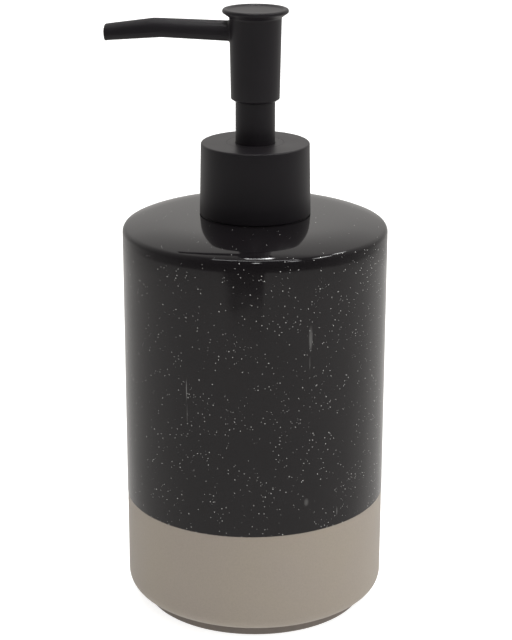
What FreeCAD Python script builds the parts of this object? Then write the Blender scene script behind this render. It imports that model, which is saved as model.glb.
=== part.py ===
"""Soap pump dispenser: a glazed ceramic bottle with a glued-in plastic neck and a screw-on
lotion pump. Millimetres, +Z up. The origin is the middle of the plane the bottle stands on,
and the spout points along -X."""
import FreeCAD, Part
import math
import os
import Sketcher
from FreeCAD import Placement, Rotation, Vector

EDGE_TOLERANCE = 0.005
LEAST_CUT = 0.01
QUARTER_TURN = math.pi / 2
# The centre of a ball on a 45 degree seat is its radius times this above the cone's point.
SEAT_FACTOR = math.sqrt(2)

doc = FreeCAD.newDocument("soap_pump_dispenser")
sheet = doc.addObject("Spreadsheet::Sheet", "Sizes")
sizes = []
pieces = []


class Length:
    """A size that knows both its number and the sheet expression that gives it."""

    def __init__(self, number, text):
        self.number = number
        self.text = text

    def __add__(self, other):
        return joined(self, "+", other)

    def __radd__(self, other):
        return joined(other, "+", self)

    def __sub__(self, other):
        return joined(self, "-", other)

    def __rsub__(self, other):
        return joined(other, "-", self)

    def __mul__(self, other):
        return joined(self, "*", other)

    def __rmul__(self, other):
        return joined(other, "*", self)

    def __truediv__(self, other):
        return joined(self, "/", other)

    def __neg__(self):
        return joined(0, "-", self)


def number_of(value):
    return value.number if isinstance(value, Length) else float(value)


def text_of(value):
    return value.text if isinstance(value, Length) else repr(value)


def joined(left, sign, right):
    a = number_of(left)
    b = number_of(right)
    answers = {"+": a + b, "-": a - b, "*": a * b, "/": a / b if b else 0.0}
    return Length(answers[sign], f"({text_of(left)} {sign} {text_of(right)})")


def size(alias, number):
    """Write one driving size in the sheet and return it."""
    row = len(sizes) + 1
    sheet.set(f"A{row}", alias)
    sheet.set(f"B{row}", str(number))
    sheet.setAlias(f"B{row}", alias)
    sizes.append(alias)
    return Length(float(number), f"Sizes.{alias}")


# Ceramic body
body_diameter = size("body_diameter", 74.4)
body_corner_height = size("body_corner_height", 111.5)
shoulder_rise = size("shoulder_rise", 3.6)
shoulder_round = size("shoulder_round", 2.05)
shoulder_bend_inset = size("shoulder_bend_inset", 7.7)
shoulder_bend_drop = size("shoulder_bend_drop", 0.58)
shoulder_bend_round = size("shoulder_bend_round", 38.0)
ceramic_wall = size("ceramic_wall", 4.0)
ceramic_floor = size("ceramic_floor", 4.3)
cavity_round = size("cavity_round", 5.0)
foot_inset = size("foot_inset", 5.2)
foot_height = size("foot_height", 3.2)
foot_width = size("foot_width", 4.5)
foot_recess = size("foot_recess", 1.4)
base_round = size("base_round", 4.3)
mouth_land_depth = size("mouth_land_depth", 11.0)
mouth_land_wall = size("mouth_land_wall", 4.0)

# Plastic neck, 28 mm screw finish
neck_crest_diameter = size("neck_crest_diameter", 27.4)
thread_depth = size("thread_depth", 1.2)
neck_wall = size("neck_wall", 1.5)
neck_rise = size("neck_rise", 15.9)
neck_flange_width = size("neck_flange_width", 2.7)
neck_flange_thickness = size("neck_flange_thickness", 1.5)
neck_flange_gap = size("neck_flange_gap", 0.15)
neck_sleeve_length = size("neck_sleeve_length", 10.0)
neck_sleeve_wall = size("neck_sleeve_wall", 2.25)
bond_thickness = size("bond_thickness", 0.35)
key_depth = size("key_depth", 0.5)
key_count = 3
thread_pitch = size("thread_pitch", 4.233)
thread_turns = size("thread_turns", 1.5)
thread_root_width = size("thread_root_width", 2.2)
thread_crest_width = size("thread_crest_width", 1.0)
thread_start = size("thread_start", 4.2)
thread_play = size("thread_play", 0.2)
thread_bite = size("thread_bite", 0.4)

# Screw closure
collar_wall = size("collar_wall", 1.5)
collar_draft = size("collar_draft", 0.4)
collar_gap = size("collar_gap", 0.5)
collar_plate = size("collar_plate", 1.6)
collar_side_play = size("collar_side_play", 0.3)
collar_head_play = size("collar_head_play", 0.6)
collar_head_depth = size("collar_head_depth", 5.0)
collar_edge_round = size("collar_edge_round", 0.5)
collar_thread_share = size("collar_thread_share", 0.8)
gasket_thickness = size("gasket_thickness", 1.1)

# Stem and the guide around it
stem_diameter = size("stem_diameter", 10.95)
stem_wall = size("stem_wall", 1.2)
stem_lip_width = size("stem_lip_width", 1.0)
stem_lip_height = size("stem_lip_height", 2.0)
stem_in_head = size("stem_in_head", 11.0)
running_gap = size("running_gap", 0.06)
fitted_gap = size("fitted_gap", 0.03)
stop_gap = size("stop_gap", 0.2)
guide_wall = size("guide_wall", 1.46)
guide_length = size("guide_length", 15.0)
guide_rim_width = size("guide_rim_width", 0.95)
guide_rim_thickness = size("guide_rim_thickness", 0.8)
guide_bead = size("guide_bead", 0.25)
guide_bead_height = size("guide_bead_height", 0.8)
guide_bead_depth = size("guide_bead_depth", 5.0)
stroke = size("stroke", 11.0)

# Pump cylinder and ball valve
cylinder_flange_thickness = size("cylinder_flange_thickness", 1.5)
cylinder_wall = size("cylinder_wall", 1.4)
cylinder_depth = size("cylinder_depth", 52.0)
ball_diameter = size("ball_diameter", 6.0)
ball_side_gap = size("ball_side_gap", 0.7)
ball_room = size("ball_room", 0.4)
ball_seat_gap = size("ball_seat_gap", 0.05)
nib_depth = size("nib_depth", 1.2)
nib_height = size("nib_height", 1.0)
nib_count = 4
inlet_bore = size("inlet_bore", 3.8)
inlet_length = size("inlet_length", 1.5)
socket_depth = size("socket_depth", 11.0)
socket_wall = size("socket_wall", 1.3)
vent_diameter = size("vent_diameter", 1.5)
vent_below_guide = size("vent_below_guide", 3.0)

# Piston and rod
piston_height = size("piston_height", 8.0)
piston_lip_height = size("piston_lip_height", 1.6)
piston_lip_depth = size("piston_lip_depth", 1.1)
piston_float = size("piston_float", 1.0)
rod_diameter = size("rod_diameter", 5.2)
rod_plug_length = size("rod_plug_length", 7.0)
rod_flange_margin = size("rod_flange_margin", 0.45)
rod_flange_height = size("rod_flange_height", 2.0)
rod_tail_gap = size("rod_tail_gap", 0.85)
rod_tail_length = size("rod_tail_length", 6.0)
rod_slot_width = size("rod_slot_width", 1.4)
rod_slot_depth = size("rod_slot_depth", 1.4)
rod_slot_count = 4

# Return spring and dip tube
spring_wire = size("spring_wire", 0.9)
spring_seat_margin = size("spring_seat_margin", 0.15)
spring_turns = size("spring_turns", 7)
tube_diameter = size("tube_diameter", 6.4)
tube_wall = size("tube_wall", 0.9)
tube_floor_gap = size("tube_floor_gap", 2.5)

# Actuator head and spout
head_clearance = size("head_clearance", 0.5)
head_wall = size("head_wall", 1.25)
head_draft = size("head_draft", 0.45)
head_chamfer_height = size("head_chamfer_height", 0.8)
head_neck_height = size("head_neck_height", 23.1)
head_overhang = size("head_overhang", 1.9)
head_flare_height = size("head_flare_height", 1.4)
head_rim_height = size("head_rim_height", 0.9)
head_rim_round = size("head_rim_round", 0.38)
head_dish_depth = size("head_dish_depth", 0.5)
head_rim_width = size("head_rim_width", 1.2)
head_lead_in = size("head_lead_in", 0.1)
head_channel = size("head_channel", 5.0)
spout_root_width = size("spout_root_width", 5.8)
spout_root_height = size("spout_root_height", 5.05)
spout_root_reach = size("spout_root_reach", 3.0)
spout_bend_width = size("spout_bend_width", 5.3)
spout_bend_height = size("spout_bend_height", 4.85)
spout_bend_reach = size("spout_bend_reach", 28.5)
spout_tip_width = size("spout_tip_width", 4.7)
spout_tip_height = size("spout_tip_height", 4.1)
spout_reach = size("spout_reach", 42.5)
spout_drop = size("spout_drop", 1.7)
spout_corner = size("spout_corner", 1.5)
spout_below_rim = size("spout_below_rim", 6.3)
spout_bore = size("spout_bore", 2.6)

doc.recompute()


def origin_plane(body, role):
    for feature in body.Origin.OriginFeatures:
        if feature.Role == role:
            return feature
    raise ValueError(role)


def new_body(label):
    body = doc.addObject("PartDesign::Body", label)
    body.Label = label
    pieces.append(body)
    return body


def new_sketch(body, label, role, offset=0):
    """An empty sketch on one of the body's own origin planes, moved along its normal."""
    sketch = body.newObject("Sketcher::SketchObject", label)
    sketch.AttachmentSupport = [(origin_plane(body, role), "")]
    sketch.MapMode = "FlatFace"
    sketch.AttachmentOffset = Placement(Vector(0, 0, number_of(offset)), Rotation())
    if isinstance(offset, Length):
        sketch.setExpression("AttachmentOffset.Base.z", offset.text)
    return sketch


def bind_datum(sketch, constraint, value):
    index = sketch.addConstraint(constraint)
    if isinstance(value, Length):
        sketch.setExpression(f"Constraints[{index}]", value.text)


def pin_point(sketch, geometry, point, across, up):
    """Tie a sketch point to its distances from the sketch's origin."""
    if number_of(across) == 0:
        sketch.addConstraint(Sketcher.Constraint("PointOnObject", geometry, point, -2))
    else:
        rule = Sketcher.Constraint("DistanceX", -1, 1, geometry, point, number_of(across))
        bind_datum(sketch, rule, across)
    if number_of(up) == 0:
        sketch.addConstraint(Sketcher.Constraint("PointOnObject", geometry, point, -1))
    else:
        rule = Sketcher.Constraint("DistanceY", -1, 1, geometry, point, number_of(up))
        bind_datum(sketch, rule, up)


def draw_outline(sketch, corners):
    """A closed outline of straight edges through corners given as (across, up)."""
    count = len(corners)
    points = [Vector(number_of(across), number_of(up), 0) for across, up in corners]
    for index, point in enumerate(points):
        sketch.addGeometry(Part.LineSegment(point, points[(index + 1) % count]), False)
    for index in range(count):
        following = (index + 1) % count
        sketch.addConstraint(Sketcher.Constraint("Coincident", index, 2, following, 1))
    for index, (across, up) in enumerate(corners):
        pin_point(sketch, index, 1, across, up)


def draw_circle(sketch, across, up, diameter):
    centre = Vector(number_of(across), number_of(up), 0)
    circle = Part.Circle(centre, Vector(0, 0, 1), number_of(diameter) / 2)
    index = sketch.addGeometry(circle, False)
    pin_point(sketch, index, 3, across, up)
    rule = Sketcher.Constraint("Diameter", index, number_of(diameter))
    bind_datum(sketch, rule, diameter)


def draw_rounded_box(sketch, up, width, height, corner):
    """A rectangle with round corners, centred on the sketch's vertical axis at height up."""
    half_width = width / 2
    half_height = height / 2
    radius = number_of(corner)
    for quarter, (side, level) in enumerate(((1, 1), (-1, 1), (-1, -1), (1, -1))):
        centre = Vector(
            side * (number_of(half_width) - radius),
            number_of(up) + level * (number_of(half_height) - radius),
            0,
        )
        circle = Part.Circle(centre, Vector(0, 0, 1), radius)
        start = quarter * QUARTER_TURN
        sketch.addGeometry(Part.ArcOfCircle(circle, start, start + QUARTER_TURN), False)
    for index in range(4):
        start = sketch.getPoint(index, 2)
        end = sketch.getPoint((index + 1) % 4, 1)
        sketch.addGeometry(Part.LineSegment(start, end), False)
    for index in range(4):
        following = (index + 1) % 4
        sketch.addConstraint(Sketcher.Constraint("Tangent", index, 2, 4 + index, 1))
        sketch.addConstraint(Sketcher.Constraint("Tangent", 4 + index, 2, following, 1))
    for index in range(1, 4):
        sketch.addConstraint(Sketcher.Constraint("Equal", 0, index))
    bind_datum(sketch, Sketcher.Constraint("Radius", 0, radius), corner)
    pin_point(sketch, 0, 3, half_width - corner, up + half_height - corner)
    pin_point(sketch, 2, 3, corner - half_width, up - half_height + corner)


def revolve(body, label, corners, kind="PartDesign::Revolution"):
    """Turn an outline of (radius, height) corners a full circle about the Z axis."""
    sketch = new_sketch(body, f"{label}_outline", "XZ_Plane")
    draw_outline(sketch, corners)
    feature = body.newObject(kind, label)
    feature.Profile = sketch
    feature.ReferenceAxis = (sketch, ["V_Axis"])
    feature.Angle = 360
    sketch.Visibility = False
    doc.recompute()
    return feature


def coil(body, label, sketch, pitch, turns):
    """Sweep a sketch on the XZ plane up a right-handed helix about the Z axis."""
    feature = body.newObject("PartDesign::AdditiveHelix", label)
    feature.Profile = sketch
    feature.ReferenceAxis = (sketch, ["V_Axis"])
    feature.Mode = 1
    feature.Pitch = number_of(pitch)
    feature.Turns = number_of(turns)
    feature.LeftHanded = False
    feature.Reversed = False
    feature.setExpression("Pitch", text_of(pitch))
    feature.setExpression("Turns", text_of(turns))
    doc.recompute()
    return feature


def ring_edges(shape, radius, height):
    """Names of the circular edges about the Z axis with this radius at this height."""
    names = []
    for index, edge in enumerate(shape.Edges, 1):
        curve = edge.Curve
        if not isinstance(curve, Part.Circle):
            continue
        same_radius = abs(curve.Radius - number_of(radius)) < EDGE_TOLERANCE
        same_height = abs(curve.Center.z - number_of(height)) < EDGE_TOLERANCE
        if same_radius and same_height:
            names.append(f"Edge{index}")
    if not names:
        raise ValueError(f"no ring of radius {number_of(radius)} at {number_of(height)}")
    return names


def round_rings(body, label, rings, radius):
    """Fillet the rings, given as (radius, height) pairs, of the body's last feature."""
    base = body.Tip
    names = []
    for ring in rings:
        names.extend(ring_edges(base.Shape, *ring))
    feature = body.newObject("PartDesign::Fillet", label)
    feature.Base = (base, names)
    feature.Radius = number_of(radius)
    feature.setExpression("Radius", text_of(radius))
    doc.recompute()
    return feature


def cut_away(body, label, sketch, depth, backwards=False):
    """Pocket a sketch to a depth and check that it removed something."""
    before = body.Tip.Shape.Volume
    feature = body.newObject("PartDesign::Pocket", label)
    feature.Profile = sketch
    feature.Length = number_of(depth)
    feature.setExpression("Length", text_of(depth))
    feature.Reversed = backwards
    doc.recompute()
    if feature.Shape.Volume > before - LEAST_CUT:
        raise ValueError(f"{label} removed nothing")
    return feature


def repeat_round(body, label, feature, count):
    """Repeat a feature evenly about the Z axis."""
    pattern = body.newObject("PartDesign::PolarPattern", label)
    pattern.Originals = [feature]
    pattern.Axis = (feature.Profile[0], ["N_Axis"])
    pattern.Angle = 360
    pattern.Occurrences = count
    body.Tip = pattern
    doc.recompute()
    return pattern


# Radii that several pieces share
body_radius = body_diameter / 2
foot_radius = body_radius - foot_inset
thread_crest_radius = neck_crest_diameter / 2
neck_radius = thread_crest_radius - thread_depth
neck_bore_radius = neck_radius - neck_wall
neck_flange_radius = neck_radius + neck_flange_width
counterbore_radius = neck_flange_radius + neck_flange_gap
sleeve_radius = neck_bore_radius + neck_sleeve_wall
mouth_radius = sleeve_radius + bond_thickness
stem_radius = stem_diameter / 2
stem_bore_radius = stem_radius - stem_wall
guide_bore_radius = stem_radius + running_gap
guide_radius = guide_bore_radius + guide_wall
guide_rim_radius = guide_radius + guide_rim_width
cylinder_radius = guide_radius + fitted_gap
cylinder_outer = cylinder_radius + cylinder_wall
ball_radius = ball_diameter / 2
chamber_radius = ball_radius + ball_side_gap
inlet_radius = inlet_bore / 2
tube_radius = tube_diameter / 2
spring_inner_radius = chamber_radius + spring_seat_margin
spring_radius = spring_inner_radius + spring_wire / 2
head_foot_radius = stem_radius + head_wall
head_neck_radius = head_foot_radius + head_draft
head_rim_radius = head_neck_radius + head_overhang

# Heights that several pieces share, from the table upwards
cavity_floor = foot_height + ceramic_floor
shoulder_height = body_corner_height + shoulder_rise
flange_seat = shoulder_height - neck_flange_thickness
sleeve_bottom = flange_seat - neck_sleeve_length
mouth_land_bottom = shoulder_height - mouth_land_depth
collar_bottom = shoulder_height + collar_gap
neck_top = shoulder_height + neck_rise
gasket_top = neck_top + gasket_thickness
plate_bottom = gasket_top + cylinder_flange_thickness
collar_top = plate_bottom + collar_plate
head_bottom = collar_top + stroke + head_clearance
stem_top = head_bottom + stem_in_head
flare_bottom = head_bottom + head_neck_height
flare_top = flare_bottom + head_flare_height
head_top = flare_top + head_rim_height
spout_height = head_top - spout_below_rim

# Heights inside the pump, from the closure downwards
guide_rim_seat = collar_top - guide_rim_thickness
bead_bottom = plate_bottom - guide_bead_depth
bead_top = bead_bottom + guide_bead_height
guide_bottom = collar_top - guide_length
stem_lip_top = guide_bottom - stop_gap
stem_bottom = stem_lip_top - stem_lip_height
piston_bottom = stem_bottom - piston_float - piston_height
rod_flange_bottom = piston_bottom - rod_flange_height
spring_ledge = plate_bottom - cylinder_depth
ball_top = spring_ledge - nib_height - ball_room
ball_centre = ball_top - ball_radius
seat_bottom = ball_centre - ball_seat_gap - ball_radius * SEAT_FACTOR + inlet_radius
inlet_bottom = seat_bottom - inlet_length
socket_bottom = inlet_bottom - socket_depth


def build_ceramic_bottle():
    """Slip-cast, glazed: straight wall, low domed shoulder, foot ring, thick mouth."""
    slope = (shoulder_height - body_corner_height) / (body_radius - counterbore_radius)
    inner_radius = body_radius - ceramic_wall
    land_radius = mouth_radius + mouth_land_wall
    land_ceiling = shoulder_height - (land_radius - counterbore_radius) * slope - ceramic_wall
    wall_ceiling = shoulder_height - (inner_radius - counterbore_radius) * slope - ceramic_wall
    foot_inner_radius = foot_radius - foot_width
    bend = (body_radius - shoulder_bend_inset, shoulder_height - shoulder_bend_drop)
    body = new_body("ceramic_bottle")
    revolve(body, "wall", [
        (foot_inner_radius, 0),
        (foot_radius, 0),
        (foot_radius, foot_height),
        (body_radius, foot_height),
        (body_radius, body_corner_height),
        bend,
        (counterbore_radius, shoulder_height),
        (counterbore_radius, flange_seat),
        (mouth_radius, flange_seat),
        (mouth_radius, mouth_land_bottom),
        (land_radius, mouth_land_bottom),
        (land_radius, land_ceiling),
        (inner_radius, wall_ceiling),
        (inner_radius, cavity_floor),
        (0, cavity_floor),
        (0, foot_recess),
        (foot_inner_radius, foot_recess),
    ])
    round_rings(body, "shoulder_edge", [(body_radius, body_corner_height)], shoulder_round)
    round_rings(body, "shoulder_bend", [bend], shoulder_bend_round)
    round_rings(body, "base_edge", [(body_radius, foot_height)], base_round)
    inside = [(inner_radius, cavity_floor), (inner_radius, wall_ceiling)]
    round_rings(body, "cavity_corners", inside, cavity_round)


def add_thread(body, label, root_radius, crest_radius, bite, middle, share):
    """Sweep one thread ridge; bite is how far it sinks into the wall that carries it."""
    root_half = thread_root_width * share / 2
    crest_half = thread_crest_width * share / 2
    corners = [
        (root_radius + bite, middle - root_half),
        (root_radius, middle - root_half),
        (crest_radius, middle - crest_half),
        (crest_radius, middle + crest_half),
        (root_radius, middle + root_half),
        (root_radius + bite, middle + root_half),
    ]
    sketch = new_sketch(body, f"{label}_section", "XZ_Plane")
    draw_outline(sketch, corners)
    coil(body, label, sketch, thread_pitch, thread_turns)


def build_neck_insert():
    """Moulded polypropylene: flange in the mouth, keyed sleeve below, screw thread above."""
    key_step = neck_sleeve_length / (2 * key_count + 1)
    key_radius = sleeve_radius - key_depth
    corners = [(neck_bore_radius, sleeve_bottom), (sleeve_radius, sleeve_bottom)]
    for key in range(key_count):
        key_low = sleeve_bottom + key_step * (2 * key + 1)
        key_high = key_low + key_step
        corners.append((sleeve_radius, key_low))
        corners.append((key_radius, key_low))
        corners.append((key_radius, key_high))
        corners.append((sleeve_radius, key_high))
    corners.extend([
        (sleeve_radius, flange_seat),
        (neck_flange_radius, flange_seat),
        (neck_flange_radius, shoulder_height),
        (neck_radius, shoulder_height),
        (neck_radius, neck_top),
        (neck_bore_radius, neck_top),
    ])
    body = new_body("neck_insert")
    revolve(body, "neck", corners)
    middle = shoulder_height + thread_start
    add_thread(body, "neck_thread", neck_radius, thread_crest_radius, -thread_bite, middle, 1)


def build_neck_bond():
    """The bead of silicone adhesive that holds the plastic neck in the ceramic mouth."""
    body = new_body("neck_bond")
    revolve(body, "bead", [
        (sleeve_radius, sleeve_bottom),
        (mouth_radius, sleeve_bottom),
        (mouth_radius, flange_seat),
        (sleeve_radius, flange_seat),
    ])


def build_closure_collar():
    """Smooth screw closure: slight draft outside, thread inside, hole for the stem guide."""
    wall_radius = thread_crest_radius + collar_side_play
    bottom_radius = wall_radius + collar_wall
    top_radius = bottom_radius - collar_draft
    head_radius = neck_radius + collar_head_play
    hole_radius = cylinder_radius + running_gap
    rim_radius = guide_rim_radius + running_gap
    step_height = plate_bottom - collar_head_depth
    body = new_body("closure_collar")
    revolve(body, "shell", [
        (wall_radius, collar_bottom),
        (bottom_radius, collar_bottom),
        (top_radius, collar_top),
        (rim_radius, collar_top),
        (rim_radius, guide_rim_seat),
        (hole_radius, guide_rim_seat),
        (hole_radius, plate_bottom),
        (head_radius, plate_bottom),
        (head_radius, step_height),
        (wall_radius, step_height),
    ])
    round_rings(body, "top_edge", [(top_radius, collar_top)], collar_edge_round)
    thread_drop = (thread_root_width + thread_crest_width) / 2 + thread_play
    middle = shoulder_height + thread_start - thread_drop
    crest = neck_radius + collar_side_play
    share = collar_thread_share
    add_thread(body, "collar_thread", wall_radius, crest, thread_bite, middle, share)


def build_neck_gasket():
    """Foamed polyethylene ring pressed between the neck's rim and the cylinder's flange."""
    body = new_body("neck_gasket")
    revolve(body, "ring", [
        (cylinder_outer + running_gap, neck_top),
        (neck_radius, neck_top),
        (neck_radius, gasket_top),
        (cylinder_outer + running_gap, gasket_top),
    ])


def build_pump_cylinder():
    """Moulded housing: flange, dosing bore, spring ledge, ball chamber, dip tube socket."""
    seat_top = seat_bottom + (chamber_radius - inlet_radius)
    groove_bottom = bead_bottom - running_gap
    groove_top = bead_top + running_gap
    groove_radius = cylinder_radius + guide_bead + running_gap
    body = new_body("pump_cylinder")
    revolve(body, "housing", [
        (tube_radius, socket_bottom),
        (tube_radius + socket_wall, socket_bottom),
        (tube_radius + socket_wall, seat_bottom),
        (cylinder_outer, spring_ledge),
        (cylinder_outer, gasket_top),
        (neck_radius, gasket_top),
        (neck_radius, plate_bottom),
        (cylinder_radius, plate_bottom),
        (cylinder_radius, groove_top),
        (groove_radius, groove_top),
        (groove_radius, groove_bottom),
        (cylinder_radius, groove_bottom),
        (cylinder_radius, spring_ledge),
        (chamber_radius, spring_ledge),
        (chamber_radius, seat_top),
        (inlet_radius, seat_bottom),
        (inlet_radius, inlet_bottom),
        (tube_radius, inlet_bottom),
    ])
    nib_half = nib_depth / 2
    section = new_sketch(body, "nib_section", "XY_Plane", spring_ledge - nib_height)
    draw_outline(section, [
        (chamber_radius - nib_depth, -nib_half),
        (chamber_radius + nib_half, -nib_half),
        (chamber_radius + nib_half, nib_half),
        (chamber_radius - nib_depth, nib_half),
    ])
    nib = body.newObject("PartDesign::Pad", "ball_nib")
    nib.Profile = section
    nib.Length = number_of(nib_height)
    nib.setExpression("Length", nib_height.text)
    doc.recompute()
    repeat_round(body, "ball_nibs", nib, nib_count)
    vent = new_sketch(body, "vent_circle", "YZ_Plane")
    draw_circle(vent, 0, guide_bottom - vent_below_guide, vent_diameter)
    cut_away(body, "vent_hole", vent, cylinder_outer * 2, backwards=True)


def build_stem_guide():
    """The chaplet: snaps into the cylinder, steadies the stem and holds the collar on."""
    rim_seat = guide_rim_seat + fitted_gap
    body = new_body("stem_guide")
    revolve(body, "guide", [
        (guide_bore_radius, guide_bottom),
        (guide_radius, guide_bottom),
        (guide_radius, bead_bottom),
        (cylinder_radius + guide_bead, bead_bottom),
        (guide_radius, bead_top),
        (guide_radius, rim_seat),
        (guide_rim_radius, rim_seat),
        (guide_rim_radius, collar_top),
        (guide_bore_radius, collar_top),
    ])


def build_stem_tube():
    """The visible black tube: pressed into the head, stopped by its lip under the guide."""
    lip_radius = stem_radius + stem_lip_width
    body = new_body("stem_tube")
    revolve(body, "tube", [
        (stem_bore_radius, stem_bottom),
        (lip_radius, stem_bottom),
        (lip_radius, stem_lip_top),
        (stem_radius, stem_lip_top),
        (stem_radius, stem_top),
        (stem_bore_radius, stem_top),
    ])


def add_loft(body, label, sections, kind):
    """Join sketches by straight runs, as added or removed material."""
    loft = body.newObject(kind, label)
    loft.Profile = sections[0]
    loft.Sections = sections[1:]
    loft.Ruled = True
    doc.recompute()


def build_actuator_head():
    """Column with a dished, flared top and a spout that bends down once on its way out."""
    rim_inner_radius = head_rim_radius - head_rim_width
    channel_radius = head_channel / 2
    socket_radius = stem_radius + fitted_gap
    dish_height = head_top - head_dish_depth
    body = new_body("actuator_head")
    revolve(body, "column", [
        (0, head_bottom),
        (socket_radius + head_lead_in, head_bottom),
        (head_foot_radius, head_bottom + head_chamfer_height),
        (head_neck_radius, flare_bottom),
        (head_rim_radius, flare_top),
        (head_rim_radius, head_top),
        (rim_inner_radius, head_top),
        (rim_inner_radius - head_dish_depth, dish_height),
        (0, dish_height),
    ])
    rim_rings = [(head_rim_radius, flare_top), (head_rim_radius, head_top)]
    round_rings(body, "rim_edge", rim_rings, head_rim_round)
    stations = [
        (spout_root_reach, 0, spout_root_width, spout_root_height),
        (spout_bend_reach, 0, spout_bend_width, spout_bend_height),
        (spout_reach, spout_drop, spout_tip_width, spout_tip_height),
    ]
    sections = []
    for number, (reach, drop, width, height) in enumerate(stations):
        section = new_sketch(body, f"spout_section_{number}", "YZ_Plane", -reach)
        draw_rounded_box(section, spout_height - drop, width, height, spout_corner)
        sections.append(section)
    add_loft(body, "spout", sections, "PartDesign::AdditiveLoft")
    revolve(body, "stem_socket", [
        (0, head_bottom - head_lead_in),
        (socket_radius, head_bottom - head_lead_in),
        (socket_radius, stem_top),
        (channel_radius, stem_top),
        (channel_radius, spout_height + spout_bore),
        (0, spout_height + spout_bore),
    ], "PartDesign::Groove")
    bores = []
    for number, (reach, drop, width, height) in enumerate(stations):
        bore = new_sketch(body, f"bore_section_{number}", "YZ_Plane", -reach if number else 0)
        draw_circle(bore, 0, spout_height - drop, spout_bore)
        bores.append(bore)
    add_loft(body, "spout_channel", bores, "PartDesign::SubtractiveLoft")


def build_piston_rod():
    """Plugs into the stem's lower end, carries the piston and sits on the spring."""
    rod_radius = rod_diameter / 2
    plug_radius = stem_bore_radius - fitted_gap
    plug_top = stem_bottom + rod_plug_length
    flange_radius = spring_radius + spring_wire / 2 + rod_flange_margin
    flange_top = piston_bottom - fitted_gap
    tail_radius = spring_inner_radius - rod_tail_gap
    tail_bottom = rod_flange_bottom - rod_tail_length
    body = new_body("piston_rod")
    revolve(body, "rod", [
        (0, tail_bottom),
        (tail_radius, tail_bottom),
        (tail_radius, rod_flange_bottom),
        (flange_radius, rod_flange_bottom),
        (flange_radius, flange_top),
        (rod_radius, flange_top),
        (rod_radius, stem_bottom),
        (plug_radius, stem_bottom),
        (plug_radius, plug_top),
        (0, plug_top),
    ])
    slot_length = plug_top - piston_bottom - piston_lip_height
    slot_bottom_radius = rod_radius - rod_slot_depth
    slot_half = rod_slot_width / 2
    section = new_sketch(body, "slot_section", "XY_Plane", plug_top)
    draw_outline(section, [
        (slot_bottom_radius, -slot_half),
        (plug_radius + rod_slot_depth, -slot_half),
        (plug_radius + rod_slot_depth, slot_half),
        (slot_bottom_radius, slot_half),
    ])
    slot = cut_away(body, "flow_slot", section, slot_length)
    repeat_round(body, "flow_slots", slot, rod_slot_count)


def build_piston_seal():
    """Soft polyethylene piston with a wiping lip at each end, free to shift on the rod."""
    bore_radius = rod_diameter / 2 + running_gap
    lip_radius = cylinder_radius - running_gap
    waist_radius = lip_radius - piston_lip_depth
    top = piston_bottom + piston_height
    body = new_body("piston_seal")
    revolve(body, "seal", [
        (bore_radius, piston_bottom),
        (lip_radius, piston_bottom),
        (lip_radius, piston_bottom + piston_lip_height / 2),
        (waist_radius, piston_bottom + piston_lip_height),
        (waist_radius, top - piston_lip_height),
        (lip_radius, top - piston_lip_height / 2),
        (lip_radius, top),
        (bore_radius, top),
    ])


def build_return_spring():
    """Stainless steel compression spring between the cylinder's ledge and the piston rod."""
    rise = rod_flange_bottom - spring_ledge - spring_wire
    body = new_body("return_spring")
    section = new_sketch(body, "wire_section", "XZ_Plane")
    draw_circle(section, spring_radius, spring_ledge + spring_wire / 2, spring_wire)
    coil(body, "coils", section, rise / spring_turns, spring_turns)


def build_inlet_ball():
    """Glass check ball resting on the seat at the foot of the cylinder."""
    ball = doc.addObject("Part::Sphere", "inlet_ball")
    ball.Label = "inlet_ball"
    ball.setExpression("Radius", ball_radius.text)
    ball.setExpression("Placement.Base.z", ball_centre.text)
    pieces.append(ball)


def build_dip_tube():
    """Extruded polyethylene tube, pushed into its socket and cut at a slant at the foot."""
    bottom = cavity_floor + tube_floor_gap
    outer_radius = tube_radius - fitted_gap
    bore_radius = tube_radius - tube_wall
    body = new_body("dip_tube")
    revolve(body, "tube", [
        (bore_radius, bottom),
        (outer_radius, bottom),
        (outer_radius, inlet_bottom),
        (bore_radius, inlet_bottom),
    ])
    slant = new_sketch(body, "slant_section", "XZ_Plane", -tube_diameter)
    draw_outline(slant, [
        (-tube_radius, bottom - tube_wall),
        (tube_diameter, bottom - tube_wall),
        (tube_diameter, bottom + tube_diameter),
        (-tube_radius, bottom),
    ])
    cut_away(body, "slant_cut", slant, tube_diameter * 2, backwards=True)


build_ceramic_bottle()
build_neck_insert()
build_neck_bond()
build_closure_collar()
build_neck_gasket()
build_pump_cylinder()
build_stem_guide()
build_stem_tube()
build_actuator_head()
build_piston_rod()
build_piston_seal()
build_return_spring()
build_inlet_ball()
build_dip_tube()
doc.recompute()

for item in doc.Objects:
    if "Invalid" in item.State or "Error" in item.State:
        raise RuntimeError(f"{item.Name} failed: {item.State}")
for piece in pieces:
    shape = piece.Shape
    if shape.isNull() or not shape.isValid():
        raise RuntimeError(f"{piece.Label} has no valid shape")
    if len(shape.Solids) != 1:
        raise RuntimeError(f"{piece.Label} has {len(shape.Solids)} solids")

os.makedirs("parts", exist_ok=True)
for piece in pieces:
    piece.Shape.exportStep(f"parts/{piece.Label}.step")
    box = piece.Shape.BoundBox
    print(f"{piece.Label}: z {box.ZMin:.2f} to {box.ZMax:.2f}, volume {piece.Shape.Volume:.1f}")
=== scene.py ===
# %% [markdown]
# # A soap pump dispenser
# A glazed stoneware bottle with a black plastic lotion pump. The imported model gives every
# part's place and size, so the script starts by loading it, and the boxes of its parts give
# the sizes of what is made below.

# %% Load the imported model
import math

import bmesh
import bpy
from mathutils import Matrix, Vector


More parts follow.
